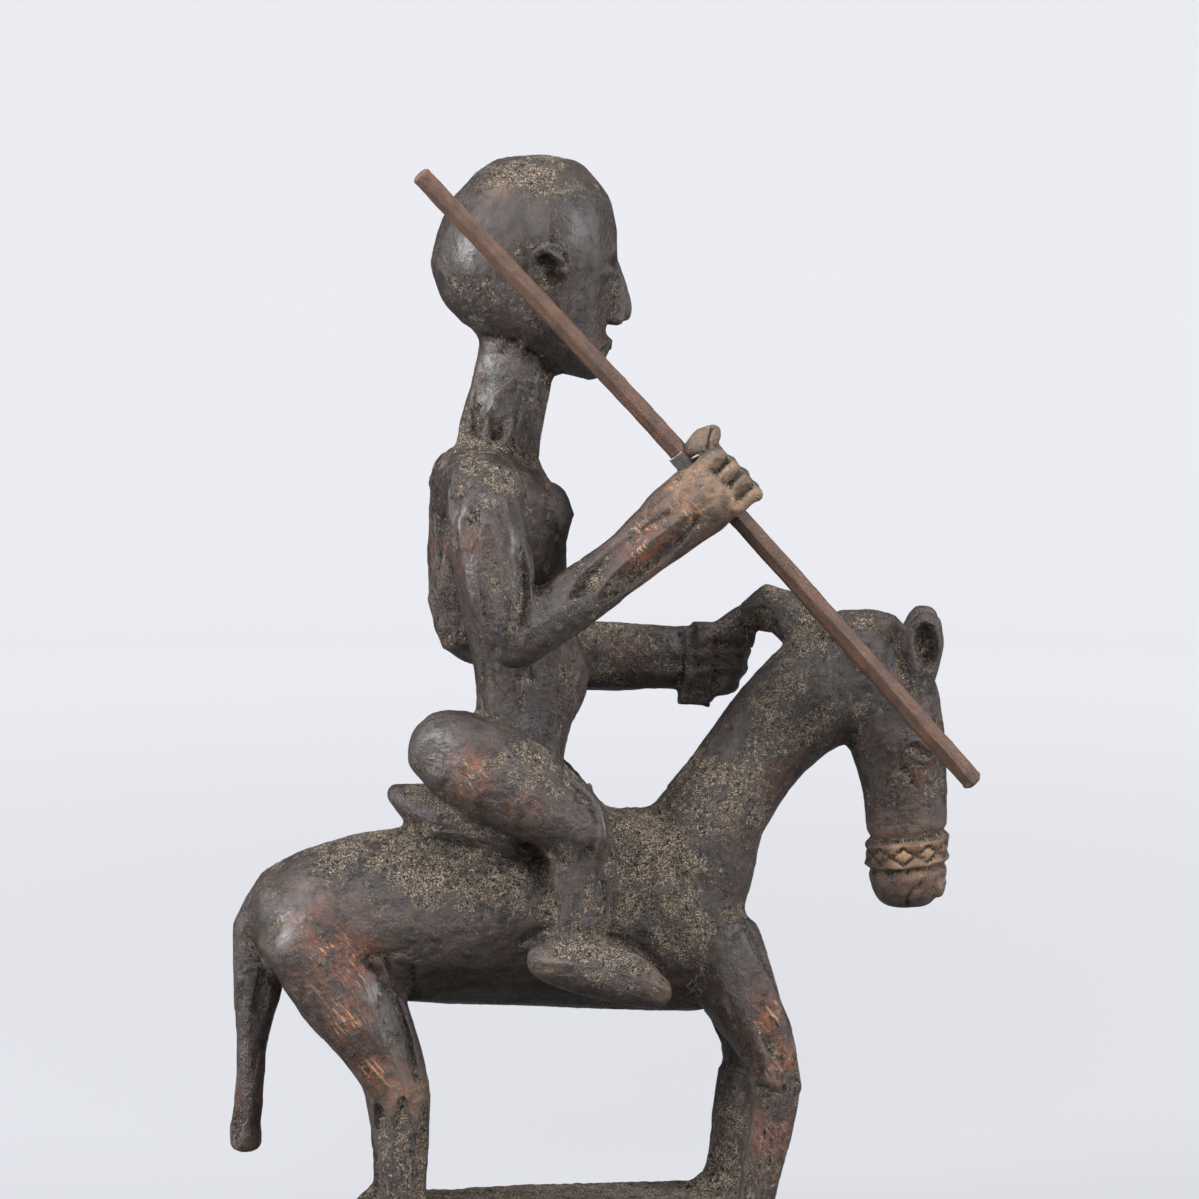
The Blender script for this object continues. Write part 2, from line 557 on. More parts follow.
# Lines cut into the wood (depth below 0) or left standing: width, depth, on both sides or not, and the way
cutLines = [
    # hind leg: the front flat with its two edges, the flank, and the root of the tail
    (2.2, 0.9, True, [(-95.2, -34.1, 159.4), (-92.8, -36.2, 145.5), (-88.7, -38.2, 132.4),
                      (-83.5, -39.1, 119)]),
    (1.7, -1.9, True, [(-84.2, -33.7, 155.9), (-78.5, -32.3, 137.5), (-73.4, -34.2, 119.8),
                       (-70.5, -35.7, 102.1)]),
    (1.4, -1.0, True, [(-94, -34.5, 157), (-84, -34.5, 158.5), (-74, -34.5, 160.5)]),
    (1.8, -1.0, True, [(-72.5, -33, 150), (-71.8, -26.6, 142.9), (-70, -18, 136)]),
    (1.7, -1.1, True, [(-143.7, -7.2, 163.5), (-137.3, -8.2, 150), (-130.9, -3.1, 137.3)]),
    # shoulder and foreleg: the front groove, the ridge beside it, the knee's crease and a crack
    (1.6, -1.5, True, [(77.2, -25.1, 166.9), (83.3, -29.3, 154.8), (92.1, -26.7, 138), (101, -21, 118)]),
    (2.6, 0.8, True, [(73, -28, 165), (80, -32, 153), (88.5, -31.5, 138), (97, -30, 117)]),
    (1.0, -0.9, True, [(82.9, -33.1, 92.5), (87.3, -36.3, 91.8), (92.6, -37.4, 90.5)]),
    (2.2, 0.7, True, [(80, -32, 97), (86, -37, 96), (91.5, -38, 95)]),
    (0.7, -1.0, False, [(94, -36.8, 106.8), (94.4, -37.4, 92.3)]),
    (0.8, -0.6, False, [(86, -38, 84), (84, -38, 66), (81, -38, 50)]),
    (0.8, -0.6, False, [(90, -38, 78), (88, -38, 60), (86, -38, 44)]),
    # between saddle, thigh and shin, and round the foot
    (4.2, -3.6, True, [(-20.9, -35.7, 203.8), (-14.9, -31, 193.8), (-11, -38, 185.5), (-10, -44, 176.6)]),
    (2.0, -1.0, True, [(-68, -20, 213), (-54, -30, 212.5), (-38, -38, 213), (-24, -42, 208)]),
    (1.6, -1.3, True, [(10.6, -52.5, 191.3), (11.6, -50.5, 180), (11, -49.5, 169)]),
    (1.6, 0.9, True, [(16, -50, 198), (16.6, -47, 186), (15.4, -44, 172)]),
    (1.8, -1.2, True, [(-23.7, -35.8, 162.7), (-11.8, -38, 169.8), (-1.5, -50, 169.5), (14.6, -41, 165),
                       (28.7, -37, 158), (38.7, -34, 149)]),
    (1.6, 0.8, True, [(-18, -54, 158), (-4, -60, 157), (12.5, -61, 154), (28, -60, 149), (38, -54, 143)]),
    # upper arm and shoulder: two long ridges and the hollow towards the chest
    (2.2, 0.9, True, [(-46, -47, 362), (-51, -50, 350), (-51.5, -51, 334), (-45, -54, 314), (-38, -54, 300)]),
    (2.0, 0.8, True, [(-33, -48, 359.5), (-30, -53.3, 342.5), (-28, -56.5, 322)]),
    (4.0, -3.2, True, [(-24, -40, 352), (-21, -42, 340), (-19, -44, 328), (-18, -46, 317)]),
    # the hollow of the rider's ear, and its slit
    (3.8, -1.5, True, [(-14, -34, 463), (-10.5, -33, 460), (-9.5, -32, 453)]),
    (0.8, -1.2, True, [(-11.8, -32.5, 461), (-11.4, -32, 455.5)]),
    # horse's ear, cheek, mouth and nostril
    (3.4, -0.7, False, [(162, -18, 298), (161.5, -16, 286), (161, -17, 276)]),
    (1.1, -1.4, True, [(156.5, -11.5, 169.5), (155.8, -14.5, 173.2), (157.6, -15.7, 176.8),
                       (161.5, -16, 180.4)]),
    (1.3, -1.3, True, [(172.5, -8.5, 177.5), (174.3, -7, 175.2)]),
    (1.6, -0.7, True, [(146, -17, 228), (150, -18.5, 214), (153, -17.5, 204)]),
    # far fist: wrist, fingers and the edge of the rein
    (1.5, -1.2, False, [(57.5, 28, 293.5), (57.8, 25, 286), (58.4, 25, 276.3), (58, 27, 268)]),
    (1.1, -1.1, False, [(74, 24, 281.6), (82.4, 23.6, 281.4), (90, 27, 281.4), (93, 34, 281.4)]),
    (1.1, -1.1, False, [(74, 24, 273.9), (82.5, 23.9, 274.1), (90, 27, 274.1), (92, 34, 274.1)]),
    (1.1, -1.0, False, [(74, 25, 267), (82.7, 24.8, 266.9), (89, 28, 266.9)]),
    (1.3, -1.2, False, [(73.6, 24, 290), (73.4, 24, 280), (73, 25, 266)]),
    # near thumb's crack and the fingers' joints
    (0.7, -1.6, False, [(59.6, -42, 389.5), (58.2, -44, 386), (57.2, -44, 381.5)]),
    (1.0, -1.7, False, [(66.5, -45, 377.2), (64, -49, 374.5), (61, -50, 371.5)]),
    (1.0, -1.7, False, [(72, -45, 371.6), (69.5, -49.5, 369), (66.5, -50, 366)]),
    (1.0, -1.7, False, [(77, -45, 366), (74.5, -49.5, 363.5), (71.5, -50, 360.8)]),
    # toes of the far fore foot and of both hind feet
    (0.9, -1.0, False, [(64, 24.6, 36), (58.5, 24.8, 32)]),
    (0.9, -1.0, False, [(64, 28.2, 36.5), (58, 28.4, 32)]),
    (0.9, -1.0, False, [(64, 31.6, 36), (58.5, 31.6, 32)]),
    (0.9, -1.0, True, [(-90, -25, 36), (-96, -25, 32)]),
    (0.9, -1.0, True, [(-90, -28.5, 36.5), (-97, -28.5, 32)]),
    (0.9, -1.0, True, [(-90, -32, 36), (-96, -32, 32)]),
    # lips of the rider, and the line down the back
    (0.9, -1.2, False, [(11.5, -8.5, 424), (17, -4, 424.4), (18.5, 0, 424.6), (17, 4, 424.4),
                        (11.5, 8.5, 424)]),
    (2.2, -0.9, False, [(-53, 0, 355), (-51, 0, 330), (-48, 0, 300), (-44, 0, 270)]),
    # cracks along the grain
    (0.6, -0.8, False, [(40, 37, 186), (38, 37.5, 170), (41, 36, 158)]),
    (0.6, -0.9, False, [(-34, 8, 378), (-33, 9, 400), (-30, 8, 418)]),
]


def surfaceWay(piece, way, gap=1.2):  # the way's points, laid on the surface close together
    path = []
    for start, end in zip(way[:-1], way[1:]):
        start, end = Vector(start), Vector(end)
        steps = max(1, int((end - start).length / gap))
        path += [start.lerp(end, step / steps) for step in range(steps)]
    path.append(Vector(way[-1]))
    found = [piece.closest_point_on_mesh(point * 0.001) for point in path]
    return np.array([hit[1] * 1000 for hit in found])


def press(piece, lines):
    points, normals = readPoints(piece.data), readNormals(piece.data)
    for width, depth, bothSides, way in lines:
        ways = [way] + ([[(x, -y, z) for x, y, z in way]] if bothSides else [])
        for one in ways:
            path = surfaceWay(piece, one)
            near = np.all((points > path.min(0) - width * 3) & (points < path.max(0) + width * 3), axis=1)
            members = np.nonzero(near)[0]
            if len(members):
                away = alongSegments(points[members], list(zip(path[:-1], path[1:]))).min(1)
                points[members] += normals[members] * (depth * np.exp(-(away / width) ** 2))[:, None]
    writePoints(piece.data, points)


# Steps that the knife has smoothed away: middle and reach
blendPlaces = onBothSides([((-127, -29, 160), 16), ((-110, -34, 159), 14), ((-79, -33, 150), 13)])


def blend(piece):
    points, edges = readPoints(piece.data), readEdges(piece.data)
    share = nearest(points, blendPlaces)[:, None]
    for _ in range(carvedWork["blendRounds"]):
        points = points + (neighbourMean(points, edges) - points) * share
    writePoints(piece.data, points)


def makeCarving():
    carving = mergedCopy("horse_and_rider", "carved_figure")
    applyModifier(carving, "REMESH", mode="VOXEL", voxel_size=carvedWork["firstVoxel"] * 0.001)
    soften(carving)
    joinInto(carving, addDetails())
    applyModifier(carving, "REMESH", mode="VOXEL", voxel_size=carvedWork["lastVoxel"] * 0.001)
    print("carving remeshed,", len(carving.data.vertices), "points")
    blend(carving)
    cutFacets(carving, carvedWork["seed"])
    cutBroad(carving)
    press(carving, cutLines + bandLines())
    return carving


carving = makeCarving()


def hollowness(points, normals, edges, rounds):  # above 0 in a hollow, below 0 on a ridge, in mm
    soft = points
    for _ in range(rounds):
        soft = neighbourMean(soft, edges)
    return ((soft - points) * normals).sum(1)


# Where dust and crust have settled: middle, reach and strength
crustPlaces = onBothSides([
    ((72, -18, 220), 30, 0.8), ((100, -14, 256), 30, 0.7), ((-60, -20, 200), 34, 0.9),
    ((-30, -32, 184), 26, 0.8), ((-12, -30, 460), 9, 0.9), ((-66, -12, 222), 16, 0.9),
]) + [
    # saddle, back, neck and breast of the horse
    ((30, -30, 200), 34, 0.9), ((30, 30, 200), 34, 0.8), ((120, 0, 294), 24, 0.8),
    ((50, -34, 172), 26, 0.6), ((-95, 0, 205), 30, 0.7), ((-50, -30, 214), 16, 0.6),
    ((0, -36, 130), 20, 0.3),
    # feet, thighs, arms and shoulders of the rider, and the rein
    ((10, -52, 160), 24, 1.4), ((18, 52, 152), 24, 1.3), ((-20, -44, 244), 22, 0.7),
    ((-12, 44, 236), 22, 0.7), ((-36, -38, 368), 16, 0.9), ((-38, 38, 368), 16, 0.9),
    ((-34, 0, 372), 26, 0.8), ((-22, -50, 305), 18, 0.7), ((-4, -52, 318), 16, 0.7),
    ((4, -18, 270), 14, 0.6), ((20, 34, 286), 24, 0.7), ((100, 22, 304), 18, 0.9),
    # crown, nape and throat
    ((-16, -14, 500), 26, 0.6), ((-30, 6, 500), 22, 0.5), ((-40, -22, 446), 18, 0.6),
    ((-34, 22, 444), 18, 0.6), ((-16, -18, 400), 14, 0.6),
    # base, lower legs and the horse's head
    ((0, 0, 30), 80, 1.5), ((-60, 0, 30), 60, 1.4), ((60, 20, 32), 50, 1.4), ((-77, -38, 60), 14, 0.5),
    ((86, -38, 56), 14, 0.5), ((160, -18, 225), 12, 0.5), ((150, 14, 235), 16, 0.5),
    ((162, 0, 262), 14, 0.6),
]
# Where the crust has rubbed off
barePlaces = [
    ((-100, -34, 150), 20, 0.8), ((-78, -33, 152), 14, 1), ((-78, 33, 152), 14, 1),
    ((-40, -36, 148), 30, 0.7), ((-40, 36, 148), 30, 0.6), ((86, -34, 140), 20, 0.8),
    ((-20, -34, 478), 10, 0.7), ((10, -26, 470), 14, 0.9), ((10, 26, 470), 14, 0.8),
    ((-48, -20, 470), 14, 0.7), ((-27, -16, 400), 12, 0.5), ((-48, -44, 330), 12, 0.8),
    ((-50, -40, 250), 14, 0.8), ((70, -30, 160), 16, 0.7), ((30, -50, 340), 16, 0.8),
    ((-140, 0, 110), 40, 0.6), ((110, -14, 230), 16, 0.5), ((-20, 0, 500), 20, 0.2),
]
# Where handling has worn the wood to a warm brown
warmPlaces = [
    ((-104, -34, 154), 17, 1), ((-101, -34, 132), 12, 0.9), ((-88, -36, 106), 10, 0.9),
    ((-116, -28, 170), 13, 0.6), ((-74, -38, 96), 9, 0.8), ((-104, 34, 152), 18, 0.8),
    ((-84, 38, 116), 15, 0.8), ((88, -36, 128), 12, 0.8), ((94, -36, 104), 13, 1), ((90, -38, 70), 15, 0.6),
    ((92, 36, 104), 14, 0.9), ((32, -52, 340), 15, 1), ((46, -52, 350), 14, 0.7), ((44, -44, 366), 10, 0.7),
    ((-46, -44, 240), 12, 0.7), ((-22, -50, 226), 9, 0.8), ((158, -17, 192), 16, 0.6),
    ((158, -17, 236), 12, 0.5), ((-140, -6, 90), 16, 0.4), ((30, 26, 284), 12, 0.4),
    ((-44, 44, 330), 16, 0.5), ((36, -40, 200), 10, 0.4), ((92, -20, 228), 12, 0.4),
    ((-46, -46, 340), 12, 0.4), ((-144, 0, 70), 10, 0.5),
]
# Where it is worn pale: the near fist, the muzzle, and spots on the hind leg, the crown and the rider's foot
palePlaces = [
    ((62, -52, 362), 8, 0.75), ((70, -51, 358), 8, 0.9), ((75, -47, 361), 7, 0.9), ((54, -50, 370), 9, 0.6),
    ((64, -48, 372), 10, 0.65), ((58, -42, 385), 8, 0.5), ((46, -50, 358), 12, 0.3),
    ((152, -17, 194), 7, 0.9), ((166, -17, 194), 8, 0.7), ((159, 0, 194), 22, 0.35),
    ((170, -10, 178), 5, 0.9), ((-76, -39, 96), 12, 0.3), ((-30, -18, 496), 6, 0.4),
    ((36, -56, 148), 8, 0.3), ((-14, -58, 158), 5, 0.3),
]
# Bare spots that handling has worn smooth, which catch the light
wornPlaces = [
    # head and neck
    ((3, -28, 476), 14, 0.55), ((3, 28, 476), 15, 0.8), ((-45, -25, 468), 13, 0.7),
    ((8, -33, 448), 12, 0.6), ((-36, -30, 486), 12, 0.5), ((-36, -12, 420), 10, 1),
    ((-36, -12, 402), 10, 0.9), ((-17, -16, 412), 8, 0.6),
    # upper arms, knees and shins of the rider
    ((-52, -50, 350), 9, 1), ((-53, -50, 332), 11, 1), ((-50, -51, 314), 9, 0.9), ((-30, -56, 342), 8, 0.8),
    ((-30, -56, 325), 8, 0.7), ((-48, 48, 332), 16, 0.8), ((-60, -41, 250), 12, 1),
    ((-52, 41, 242), 14, 0.7), ((9, -54, 218), 9, 1), ((7, -56, 206), 8, 1), ((-20, -44, 226), 10, 0.4),
    ((26, -54, 154), 9, 0.4),
    # rump, legs, shoulders and tail of the horse, and its head and neck
    ((-126, -27, 168), 14, 1), ((-126, 26, 168), 18, 0.8), ((-118, -30, 186), 12, 0.6),
    ((-90, -35, 144), 9, 1), ((-85, -37, 130), 10, 0.8), ((-80, -38, 116), 9, 0.5),
    ((76, -31, 162), 13, 0.35), ((70, -30, 174), 12, 0.3), ((60, 30, 160), 18, 0.6),
    ((-142, -8, 120), 12, 0.6), ((170, -14, 236), 10, 0.5), ((120, -17, 262), 10, 0.3),
]


def spread(points, places):
    total = np.zeros(len(points))
    for middle, reach, strength in places:
        away = np.linalg.norm(points - np.array(middle, float), axis=1)
        total = np.maximum(total, strength * np.exp(-(away / reach) ** 2 * 1.2))
    return total


crustWork = {
    "everywhere": 0.24,
    "upward": 0.26,
    "hollows": 0.6,
    "places": 0.62,
    "patches": 0.42,
    "patchSize": 15,
    "ridges": 0.5,
    "bare": 0.5,
    "worn": 0.45,
}


def crustOf(points, normals, edges, rounds):
    hollow = hollowness(points, normals, edges, rounds)
    cover = crustWork["everywhere"] + crustWork["upward"] * smoothStep(normals[:, 2], -0.1, 0.95)
    cover += crustWork["hollows"] * smoothStep(hollow, 0.02, 0.35)
    cover += spread(points, crustPlaces) * crustWork["places"]
    cover += noiseAt(points, crustWork["patchSize"], 9, 3) * crustWork["patches"]
    ridges, bare = smoothStep(-hollow, 0.08, 0.45), spread(points, barePlaces)
    cover -= crustWork["ridges"] * ridges + crustWork["bare"] * bare
    cover -= crustWork["worn"] * spread(points, wornPlaces)
    return np.clip(cover, 0, 1)


roughWork = {
    "grainSize": 2.4,
    "lumpSize": 8,
    "lumps": 0.16,
    "bareGrains": 0.06,
    "crustGrains": 0.34,
    "calm": 0.6,
}


def roughen(piece, crust):
    points, normals = readPoints(piece.data), readNormals(piece.data)
    grains = noiseAt(points, roughWork["grainSize"], 3, 2)
    lumps = noiseAt(points, roughWork["lumpSize"], 5, 2)
    calm = 1 - roughWork["calm"] * nearest(points, finePlaces)
    coarse = roughWork["bareGrains"] + roughWork["crustGrains"] * crust
    height = (lumps * roughWork["lumps"] + grains * coarse) * calm
    writePoints(piece.data, points + normals * height[:, None])


def boxInMm():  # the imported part's box, a hair smaller
    return np.array(cadLow) * 1000 + 0.02, np.array(cadHigh) * 1000 - 0.02


def keepInBox(piece):  # the underside of the base stays flat
    points = np.clip(readPoints(piece.data), *boxInMm())
    points[:, 2] = np.where(points[:, 2] < 1.2, np.minimum(points[:, 2], 0.05), points[:, 2])
    writePoints(piece.data, points)


def thin(piece, most):
    triangles = sum(len(face.vertices) - 2 for face in piece.data.polygons)
    if triangles > most:
        applyModifier(piece, "DECIMATE", decimate_type="COLLAPSE", ratio=most / triangles)


def keepValues(piece, named):
    for name, values in named.items():
        layer = piece.data.attributes.new(name, "FLOAT", "POINT")
        layer.data.foreach_set("value", values.astype(np.float32))


def grainPlaces(points):  # each point in a frame whose third axis runs along its limb, for the wood's grain
    lineNumbers = ownLines(points)
    places = np.zeros_like(points)
    for number, (start, end, *_) in enumerate(knifeLines):
        members = lineNumbers == number
        along = unit(np.subtract(end, start))
        side = unit(np.cross(along, (0, 1, 0)))
        frameWays = np.stack([side, np.cross(along, side), along], 1)
        places[members] = points[members] @ frameWays + number * 37.0
    return places * 0.001


def finishCarving():
    points, normals, edges = readPoints(carving.data), readNormals(carving.data), readEdges(carving.data)
    roughen(carving, crustOf(points, normals, edges, 12))
    thin(carving, carvedWork["mostTriangles"])
    keepInBox(carving)
    points, normals, edges = readPoints(carving.data), readNormals(carving.data), readEdges(carving.data)
    hollow = hollowness(points, normals, edges, 4)
    keepValues(carving, {
        "crust": crustOf(points, normals, edges, 5),
        "hollow": smoothStep(hollow, 0.05, 0.6),
        "ridge": smoothStep(-hollow, 0.04, 0.45),
        "warm": spread(points, warmPlaces),
        "pale": spread(points, palePlaces),
        "worn": spread(points, wornPlaces),
    })
    layer = carving.data.attributes.new("grainPlace", "FLOAT_VECTOR", "POINT")
    layer.data.foreach_set("vector", grainPlaces(points).astype(np.float32).ravel())
    pick(carving)
    bpy.ops.object.shade_smooth()
    print("carving finished,", len(carving.data.polygons), "faces")


finishCarving()


# The staff

staffWork = {
    "voxel": 0.6,
    "slices": 60,
    "flats": 7,
    "flatness": 0.62,
    "wander": 0.5,
    "waves": 0.16,
    "roughness": 0.05,
}


def alongStaff(far, across=0):  # places for noise that changes along the stick and from flat to flat
    return np.stack([far, np.zeros_like(far) + across, np.zeros_like(far)], 1)


def staffCore(points, share):  # the middle line of the stick at each point, and the slices that it comes from
    count = staffWork["slices"]
    slices = np.minimum((share * count).astype(int), count - 1)
    middles = sums(slices, points, count) / np.bincount(slices, minlength=count)[:, None]
    places = (np.arange(count) + 0.5) / count
    core = np.stack([np.interp(share, places, middles[:, axis]) for axis in range(3)], 1)
    return core, slices, places


def shaveStaff(points):  # long flats side by side, which wander a little along the stick
    middle = points.mean(0)
    along = np.linalg.svd(points - middle, full_matrices=False)[2][0]
    along *= np.sign(along[0])
    side = unit(np.cross(along, (0, 1, 0)))
    other = np.cross(along, side)
    far = (points - middle) @ along
    share = (far - far.min()) / np.ptp(far)
    core, slices, places = staffCore(points, share)
    out = points - core
    out -= np.outer(out @ along, along)
    radius = np.linalg.norm(out, axis=1)
    usual = np.interp(share, places, [np.median(radius[slices == number]) for number in range(len(places))])
    angle = np.arctan2(out @ other, out @ side)
    angle += staffWork["wander"] * noiseAt(alongStaff(far * 0.012), 1, 21)
    wide = 2 * math.pi / staffWork["flats"]
    number = np.floor(angle / wide)
    shape = math.cos(wide / 2 * staffWork["flatness"]) / np.cos(angle - (number + 0.5) * wide)
    waves = noiseAt(alongStaff(far * 0.045, (number % staffWork["flats"]) * 3.7), 1, 22)
    shape += staffWork["waves"] * waves * 0.35
    body = (share > 0.008) & (share < 0.992)
    new = np.where(body, usual * shape, radius * (shape * 0.5 + 0.52))
    new += staffWork["roughness"] * noiseAt(points, 2.2, 23)
    return points + out / np.maximum(radius, 0.01)[:, None] * (new - radius)[:, None]


def makeStaff():
    staff = mergedCopy("staff", "shaved_staff")
    applyModifier(staff, "REMESH", mode="VOXEL", voxel_size=staffWork["voxel"] * 0.001)
    writePoints(staff.data, np.clip(shaveStaff(readPoints(staff.data)), *boxInMm()))
    pick(staff)
    bpy.ops.object.shade_smooth()
    return staff


staff = makeStaff()


# The strip of hide in the top of the near fist, with the fold that stands up from it

stripWork = {
    "voxel": 0.3,
    "fold": [(50.6, -43.6, 376.4), (52.6, -44.6, 378.2), (54.6, -43.6, 377.6), (54.2, -42.4, 375.4)],
    "foldThick": 0.5,
    "foldMiddle": (53.4, -43.8, 377.4),
    "upStaff": (-0.68, 0, 0.735),
    "unevenness": 0.12,
}


def makeStrip():
    strip = mergedCopy("staff_packing_strip", "hide_strip")
    joinInto(strip, [addRoll(stripWork["fold"], stripWork["foldThick"])])
    applyModifier(strip, "REMESH", mode="VOXEL", voxel_size=stripWork["voxel"] * 0.001)
    points, normals = readPoints(strip.data), readNormals(strip.data)
    uneven = noiseAt(points, 2.6, 31) * stripWork["unevenness"]
    writePoints(strip.data, points + normals * uneven[:, None])
    top = smoothStep(normals @ np.array(stripWork["upStaff"]), 0.6, 0.85)
    fold = smoothStep(-np.linalg.norm(points - stripWork["foldMiddle"], axis=1), -2.6, -1.8)
    keepValues(strip, {"cutEdge": np.maximum(top, fold)})
    pick(strip)
    bpy.ops.object.shade_smooth()
    return strip


strip = makeStrip()
print("staff and strip made")


# Node groups that more than one finish uses

def newGroup(name, inputs, outputs):
    group = bpy.data.node_groups.new(name, "ShaderNodeTree")
    for label, kind, default in inputs:
        socket = group.interface.new_socket(label, in_out="INPUT", socket_type=kind)
        if default is not None:
            socket.default_value = default
    for label, kind in outputs:
        group.interface.new_socket(label, in_out="OUTPUT", socket_type=kind)
    return group, group.nodes.new("NodeGroupInput"), group.nodes.new("NodeGroupOutput")


def put(tree, kind, links=(), **settings):  # adds a node; links are (input, socket or value)
    node = tree.nodes.new(kind)
    for name, value in settings.items():
        setattr(node, name, value)
    for name, value in links:
        if isinstance(value, bpy.types.NodeSocket):
            tree.links.new(value, node.inputs[name])
        else:
            node.inputs[name].default_value = value
    return node


def putNoise(tree, vector, scale, detail=3, rough=0.55, distortion=0.0):
    return put(tree, "ShaderNodeTexNoise", [("Vector", vector), ("Scale", scale), ("Detail", detail),
                                            ("Roughness", rough), ("Distortion", distortion)]).outputs["Fac"]


def putMath(tree, operation, first, second, clamp=False):
    links = [(0, first), (1, second)]
    return put(tree, "ShaderNodeMath", links, operation=operation, use_clamp=clamp).outputs[0]


def times(tree, first, second):
    return putMath(tree, "MULTIPLY", first, second)


def plus(tree, first, second, clamp=False):
    return putMath(tree, "ADD", first, second, clamp)


def putRange(tree, value, low, high, newLow=0.0, newHigh=1.0):
    return put(tree, "ShaderNodeMapRange", [("Value", value), ("From Min", low), ("From Max", high),
                                            ("To Min", newLow), ("To Max", newHigh)],
               interpolation_type="SMOOTHSTEP").outputs["Result"]


def putMix(tree, share, first, second):  # a mix of two colours: sockets 0, 6 and 7 in, 2 out
    return put(tree, "ShaderNodeMix", [(0, share), (6, first), (7, second)], data_type="RGBA").outputs[2]


def putGroup(tree, group, links):
    return put(tree, "ShaderNodeGroup", links, node_tree=group).outputs


def makeCrustGroup():  # a dry, grainy crust of dust and old offerings, with small pits
    group, start, end = newGroup(
        "grainyCrust", [("Vector", "NodeSocketVector", None), ("Cover", "NodeSocketFloat", 0.5),
                        ("Grain", "NodeSocketFloat", 1500.0)],
        [("Mask", "NodeSocketFloat"), ("Grains", "NodeSocketFloat"), ("Pits", "NodeSocketFloat"),
         ("Height", "NodeSocketFloat")])
    vector, cover, grain = (start.outputs[name] for name in ("Vector", "Cover", "Grain"))
    fine = putNoise(group, vector, grain, 3, 0.6)
    broad = putNoise(group, vector, times(group, grain, 0.16), 4, 0.65)
    mixed = plus(group, times(group, fine, 0.66), times(group, broad, 0.34))
    edge = putMath(group, "SUBTRACT", 0.72, times(group, cover, 0.42))
    mask = putRange(group, putMath(group, "SUBTRACT", mixed, edge), -0.05, 0.08)
    holes = putNoise(group, vector, times(group, grain, 0.34), 3, 0.7, 0.6)
    pits = times(group, putRange(group, holes, 0.45, 0.37), putRange(group, cover, 0.15, 0.6))
    grains = putRange(group, fine, 0.42, 0.62)
    height = times(group, mask, plus(group, 0.25, times(group, grains, 0.75)))
    height = putMath(group, "SUBTRACT", height, pits)
    for name, socket in (("Mask", mask), ("Grains", grains), ("Pits", pits), ("Height", height)):
        group.links.new(socket, end.inputs[name])
    return group


def makeMottleGroup():  # uneven colour in old wood, broad and fine
    group, start, end = newGroup(
        "oldMottle", [("Vector", "NodeSocketVector", None), ("Scale", "NodeSocketFloat", 40.0)],
        [("Broad", "NodeSocketFloat"), ("Fine", "NodeSocketFloat")])
    vector, scale = start.outputs["Vector"], start.outputs["Scale"]
    broad = putNoise(group, vector, scale, 4, 0.6, 0.4)
    fine = putNoise(group, vector, times(group, scale, 9.0), 4, 0.7)
    for name, value in (("Broad", broad), ("Fine", fine)):
        group.links.new(putRange(group, value, 0.35, 0.68), end.inputs[name])
    return group


def makeStreakGroup():  # fine streaks along the third axis of the given vector
    group, start, end = newGroup(
        "fineStreaks", [("Vector", "NodeSocketVector", None), ("Scale", "NodeSocketFloat", 500.0),
                        ("Stretch", "NodeSocketFloat", 0.08)],
        [("Streaks", "NodeSocketFloat")])
    parts = put(group, "ShaderNodeSeparateXYZ", [("Vector", start.outputs["Vector"])]).outputs
    pulled = put(group, "ShaderNodeCombineXYZ", [
        ("X", parts["X"]), ("Y", parts["Y"]),
        ("Z", times(group, parts["Z"], start.outputs["Stretch"]))]).outputs[0]
    streaks = putRange(group, putNoise(group, pulled, start.outputs["Scale"], 3, 0.6), 0.3, 0.76)
    group.links.new(streaks, end.inputs["Streaks"])
    return group


crustGroup, mottleGroup, streakGroup = makeCrustGroup(), makeMottleGroup(), makeStreakGroup()


def putCrust(tree, vector, cover, grain):
    return putGroup(tree, crustGroup, [("Vector", vector), ("Cover", cover), ("Grain", grain)])


def putMottle(tree, vector, scale):
    return putGroup(tree, mottleGroup, [("Vector", vector), ("Scale", scale)])


def putStreaks(tree, vector, scale, stretch):
    links = [("Vector", vector), ("Scale", scale), ("Stretch", stretch)]
    return putGroup(tree, streakGroup, links)["Streaks"]


def newMaterial(name):
    material = bpy.data.materials.new(name)
    material.use_nodes = True
    tree = material.node_tree
    tree.nodes.clear()
    output = tree.nodes.new("ShaderNodeOutputMaterial")
    shader = tree.nodes.new("ShaderNodeBsdfPrincipled")
    tree.links.new(shader.outputs[0], output.inputs[0])
    return material, tree, shader


def objectPlace(tree):
    return put(tree, "ShaderNodeTexCoord").outputs["Object"]


def turned(tree, vector, degrees):
    links = [("Vector", vector), ("Rotation", inRadians(degrees))]
    return put(tree, "ShaderNodeMapping", links, vector_type="POINT").outputs[0]


def kept(tree, name, output="Fac"):
    return put(tree, "ShaderNodeAttribute", attribute_name=name, attribute_type="GEOMETRY").outputs[output]


def linkSurface(tree, shader, color, roughness, height, relief, strength):
    bump = put(tree, "ShaderNodeBump", [("Height", height), ("Distance", relief), ("Strength", strength)])
    for name, socket in (("Base Color", color), ("Roughness", roughness), ("Normal", bump.outputs[0])):
        tree.links.new(socket, shader.inputs[name])


woodFinish = {
    "dark": (0.011, 0.0078, 0.0070, 1),
    "brown": (0.088, 0.044, 0.028, 1),
    "warm": (0.270, 0.078, 0.024, 1),
    "pale": (0.55, 0.33, 0.18, 1),
    "film": (0.080, 0.058, 0.042, 1),
    "rubbed": (0.085, 0.068, 0.060, 1),
    "crust": (0.460, 0.360, 0.260, 1),
    "crustDark": (0.030, 0.022, 0.016, 1),
    "hollow": (0.006, 0.005, 0.0045, 1),
    "smooth": 0.20,
    "dry": 0.85,
    "relief": 0.0007,
}


